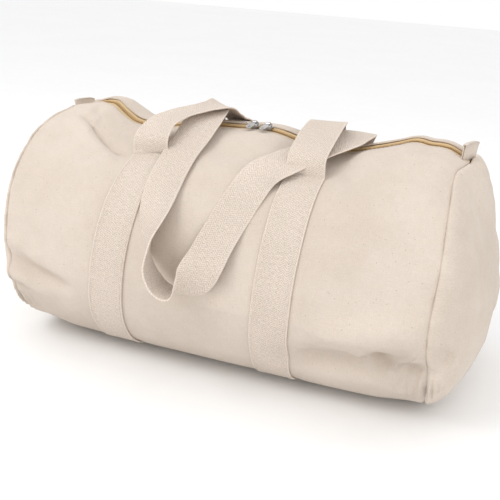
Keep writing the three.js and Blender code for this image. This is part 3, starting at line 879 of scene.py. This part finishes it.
# Routes of the two handles from root to root: x, y and z of the middle of the strap, then how
# its width lies. Roll stands the width off the canvas, at 90, and turn swings it about the
# vertical from the line of the bag.
FRONT_ROUTE = [
    (-91, -84, 240, 0, -8), (-88, -70, 254, 0, -22), (-78, -47, 262, 0, -42), (-65, -30, 266, 0, -52),
    (-54, -15, 268.5, 0, -54), (-48, 1, 268, 0, -50), (-47, 17, 262.5, 0, -42), (-49, 36, 254, 0, -28),
    (-50, 57, 245, 0, -12), (-47, 81, 232, 0, -3), (-43, 106, 214, 2, 0), (-38, 134, 188, 24, 0),
    (-26, 160, 156, 68, 0), (2, 168, 140, 90, 0), (32, 164, 152, 112, 0), (44, 142, 182, 150, 0),
    (50, 112, 212, 176, 0), (56, 78, 238, 180, 8), (64, 42, 254, 180, 16), (74, 8, 264, 180, 20),
    (78, -26, 264, 180, 16), (78, -56, 254, 180, 6), (77, -76, 239, 180, 2),
]
REAR_ROUTE = [
    (-96, 80, 239, 0, 0), (-90, 58, 250, 0, 8), (-78, 34, 257, 0, 22), (-66, 12, 263, 0, 28),
    (-57, -8, 266, 0, 28), (-53, -30, 262, 0, 20), (-53, -60, 247, 0, 6), (-57, -90, 227, 2, 0),
    (-60, -112, 206, 4, 0), (-60, -129, 188, 12, 0), (-57, -147, 166, 38, 0), (-50, -163, 146, 68, 0),
    (-43, -172, 128, 84, 0), (-31, -174, 114, 90, 0), (-19, -172, 110, 96, 0), (-5, -166, 120, 130, 0),
    (4, -157, 139, 168, 0), (11, -143, 161, 180, 0), (19, -127, 184, 180, 0),
    (27.5, -111, 205.5, 180, 0), (36, -94, 222.5, 180, 0), (56, -74, 235, 180, 0),
    (80, -50, 245.5, 180, -6), (95, -26, 250, 180, -14), (101, 0, 252, 180, -14),
    (102, 28, 252, 180, -6), (97, 54, 247.5, 180, 0), (90, 78, 238, 180, 0),
]


def handle(name, route, angles, seed):
    """A carry handle with its two bands, as the one length of webbing that it is."""
    meeting, roots = angles["meeting"], angles["root"]
    left, left_n = band_rows("left", meeting, roots["left"])
    right, right_n = band_rows("right", roots["right"], meeting)
    middle = len(COLUMNS) // 2
    controls = [(*left[-1, middle], 0, 0)] + list(route) + [(*right[0, middle], 180, 0)]
    free, free_n = free_rows(controls, left[-1], right[0], seed)
    if (left[-1, -1] - left[-1, 0]) @ (free[0, -1] - free[0, 0]) < 0:
        free = free[:, ::-1]
    if free_n[1, middle] @ left_n[-1, middle] < 0:
        free_n = -free_n
    right = right[:, ::-1]
    right_n = right_n[:, ::-1]
    runs = [(left, left_n), (free[1:-1], free_n[1:-1]), (right, right_n)]
    return strap(name, runs)


# Zip.

# Section of each tape: distance from the middle of the zip, and height from the coil's middle.
TAPE_PROFILE = {
    "front": [(0.9, -1.3), (3.0, -1.3), (4.4, -1.7), (5.6, -3.1), (7.0, -4.6), (11.0, -5.6),
              (15.0, -6.2)],
    "rear": [(0.9, -1.3), (3.0, -1.3), (4.6, -1.2), (6.2, -0.1), (8.0, 0.6), (11.0, 0.2),
             (15.0, -0.6)],
}
TAPE = 0.6              # thickness of the tape
TAPE_END = 226.0
COIL_PITCH = 1.7
COIL_END = 221.0
TOOTH_RADIUS = 0.72
TOOTH_INNER = -0.45     # each tooth starts this far past the middle
TOOTH_OUTER = 3.2


def zip_tape(side):
    sign = -1 if side == "front" else 1
    xs = np.linspace(-TAPE_END, TAPE_END, 150)
    profile = curve_through([(y, z, 0.0) for y, z in TAPE_PROFILE[side]], step=0.8)[:, :2]
    low = zip_height(xs)[:, None]
    ruffle = 0.25 * fbm(np.stack([xs, xs * 0, xs * 0 + sign], -1), 16.0, 2, 2.0)[:, None]
    rise = smooth(profile[None, :, 0], 4.0, 9.0)
    z = low + profile[None, :, 1] + ruffle * rise
    y = np.broadcast_to(sign * profile[None, :, 0], z.shape)
    outer = np.stack([np.broadcast_to(xs[:, None], z.shape), y, z], -1)
    inner = outer - np.array([0, 0, TAPE])
    uv = np.stack([outer[..., 0], outer[..., 1]], -1)
    return shell(f"zip_tape_{side}_cloth", outer, inner, uv)


def zip_coil(side):
    sign = -1 if side == "front" else 1
    count = int(2 * COIL_END / COIL_PITCH)
    xs = -COIL_END + COIL_PITCH * (np.arange(count) + (0.5 if side == "rear" else 0.0))
    z = zip_height(xs)
    inner = np.stack([xs, np.full(count, sign * TOOTH_INNER), z + 0.1], -1)
    outer = np.stack([xs, np.full(count, sign * TOOTH_OUTER), z - 0.35], -1)
    up = np.tile([0.0, 0.0, 1.0], (count, 1))
    return tube_blobs(f"zip_coil_{side}_teeth", inner, outer, TOOTH_RADIUS, up, bow=0.45)


# End tabs: folded loops of canvas that stand in the end seams.
TABS = {
    "left": {"x": -223.5, "height": 9.0, "width": 27.0, "turn": 22.0, "lean": -2.5, "loft": 2.0},
    "right": {"x": 223.5, "height": 17.0, "width": 27.0, "turn": 20.0, "lean": 1.5, "loft": 2.8},
}

TAB_SUNK = 3.0          # how far each stands down into its seam
TAB_CANVAS = 1.1
TAB_ROWS = 25
TAB_COLUMNS = 22


def end_tab(side):
    tab = TABS[side]
    foot = float(zip_height(tab["x"])) - TAB_SUNK
    tall = tab["height"] + TAB_SUNK
    outline = []
    for step in range(TAB_ROWS):
        t = step / (TAB_ROWS - 1)
        turn = math.pi * smooth(t, 0.3, 0.7)
        rise = math.sin(math.pi * t) ** 0.42
        half = tab["loft"] * (0.55 + 0.45 * math.sin(math.pi * t) ** 4)
        outline.append((-math.cos(turn) * half + tab["lean"] * rise, foot + tall * rise))
    outline = np.array(outline)
    across = np.linspace(-tab["width"] / 2, tab["width"] / 2, TAB_COLUMNS)
    x = np.broadcast_to(outline[:, :1], (TAB_ROWS, TAB_COLUMNS)).copy()
    z = np.broadcast_to(outline[:, 1:], (TAB_ROWS, TAB_COLUMNS)).copy()
    y = np.broadcast_to(across[None], (TAB_ROWS, TAB_COLUMNS)).copy()
    share = (z - foot) / tall
    z -= 1.6 * share * (np.abs(y) / tab["width"] * 2) ** 4
    points = np.stack([x, y, z], -1)
    ripple = fbm(points, 12.0, 2, 8.0) * share
    points[..., 0] += 0.7 * ripple
    turn = math.radians(tab["turn"])
    x0, y0 = points[..., 0].copy(), points[..., 1].copy()
    points[..., 0] = x0 * math.cos(turn) + y0 * math.sin(turn) + tab["x"]
    points[..., 1] = -x0 * math.sin(turn) + y0 * math.cos(turn) + 1.0
    along = np.gradient(points, axis=0)
    wide = np.gradient(points, axis=1)
    n = unit(np.cross(wide, along))
    centre = points.mean((0, 1))
    if np.sum((points - centre) * n) < 0:
        n = -n
    uv = np.stack([y0, np.broadcast_to(np.linspace(0, 40, TAB_ROWS)[:, None], y0.shape)], -1)
    return shell(f"canvas_tab_{side}", points, points - n * TAB_CANVAS, uv)


# Stitching.

STITCH_LENGTH = 3.2
STITCH_PITCH = 4.4
STITCH_RADIUS = 0.34
LIP_INSET = 3.2         # from each edge of the canvas beside the zip
BAND_INSET = 2.6        # from each edge of a band


def stitches(name, places, lift):
    """Threads along rows of (x, girth angle) places that are one pitch apart."""
    starts, ends, ups = [], [], []
    for row in places:
        row = np.asarray(row, float)
        points, n = skin(row[:, 0], row[:, 1], lift)
        step = unit(np.gradient(points, axis=0))
        starts += list(points - step * STITCH_LENGTH / 2)
        ends += list(points + step * STITCH_LENGTH / 2)
        ups += list(n)
    return tube_blobs(name, starts, ends, STITCH_RADIUS, ups, bow=0.28)


def lip_rows():
    xs = np.arange(-220, 220, STITCH_PITCH)
    return [
        np.stack([xs, np.full(xs.shape, FRONT_LIP - LIP_INSET / ARC)], -1),
        np.stack([xs, np.full(xs.shape, REAR_LIP + LIP_INSET / ARC)], -1),
    ]


def band_edge_rows(side, low, high):
    angles = np.arange(low, high, STITCH_PITCH / ARC)
    centres = band_centre(side, angles)
    offset = STRAP / 2 - BAND_INSET
    return [np.stack([centres + k * offset, angles], -1) for k in (-1, 1)]


def root_rows(side, angle):
    xs = np.arange(-16.0, 16.1, STITCH_PITCH * 0.8)
    rows = []
    for drop in (1.0, 5.5):
        at = angle - math.copysign(drop / ARC, 90 - angle)
        centre = float(band_centre(side, np.array([at]))[0])
        rows.append(np.stack([centre + xs, np.full(xs.shape, at)], -1))
    return rows


# Putting it together.

canvas = sleeve()
dress(canvas, CANVAS_LOOK, "bag")
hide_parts("main_panel")
for side in ("left", "right"):
    panel = dress(end_panel(side), CANVAS_LOOK, "bag")
    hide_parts(f"end_panel_{side}")
    tab = dress(end_tab(side), CANVAS_LOOK, "bag")
    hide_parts(f"end_tab_{side}")
    binding = dress(seam_binding(side), CANVAS_LOOK, "bag")
    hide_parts(f"seam_binding_{side}")

front_strap, front_length = handle(
    "webbing_front", FRONT_ROUTE, {"meeting": UNDER_FRONT + 0.2, "root": STITCH}, 14.0)
rear_strap, rear_length = handle(
    "webbing_rear", REAR_ROUTE,
    {"meeting": UNDER_REAR - 0.2, "root": {"left": REAR_STITCH, "right": REAR_STITCH}}, 27.0)
for piece in (front_strap, rear_strap):
    dress(piece, WEBBING_LOOK)
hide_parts("handle_front", "band_left", "band_right")
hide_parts("handle_rear_strap_left", "handle_rear_strap_right", "handle_rear_loop")

for side in ("front", "rear"):
    tape = dress(zip_tape(side), TAPE_LOOK, "bag")
    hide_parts(f"zip_tape_{side}")
    coil = dress(zip_coil(side), COIL_LOOK, "bag")
    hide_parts(f"zip_coil_{side}")

over_strap = GAP + WEBBING + 0.05
dress(stitches("zip_stitching", lip_rows(), 0.05), THREAD_LOOK, "bag")
for side in ("left", "right"):
    front_rows = band_edge_rows(side, -80, STITCH[side] - 3) + root_rows(side, STITCH[side])
    rear_rows = band_edge_rows(side, REAR_STITCH + 3, 262) + root_rows(side, REAR_STITCH)
    threads = stitches(f"band_{side}_stitching", front_rows + rear_rows, over_strap)
    dress(threads, THREAD_LOOK, "bag")

for name in ("slider_left", "slider_right", "pull_left", "pull_right"):
    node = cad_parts[name]
    for slot in node.material_slots:
        slot.material = METAL_LOOK

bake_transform(front_strap)
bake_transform(rear_strap)
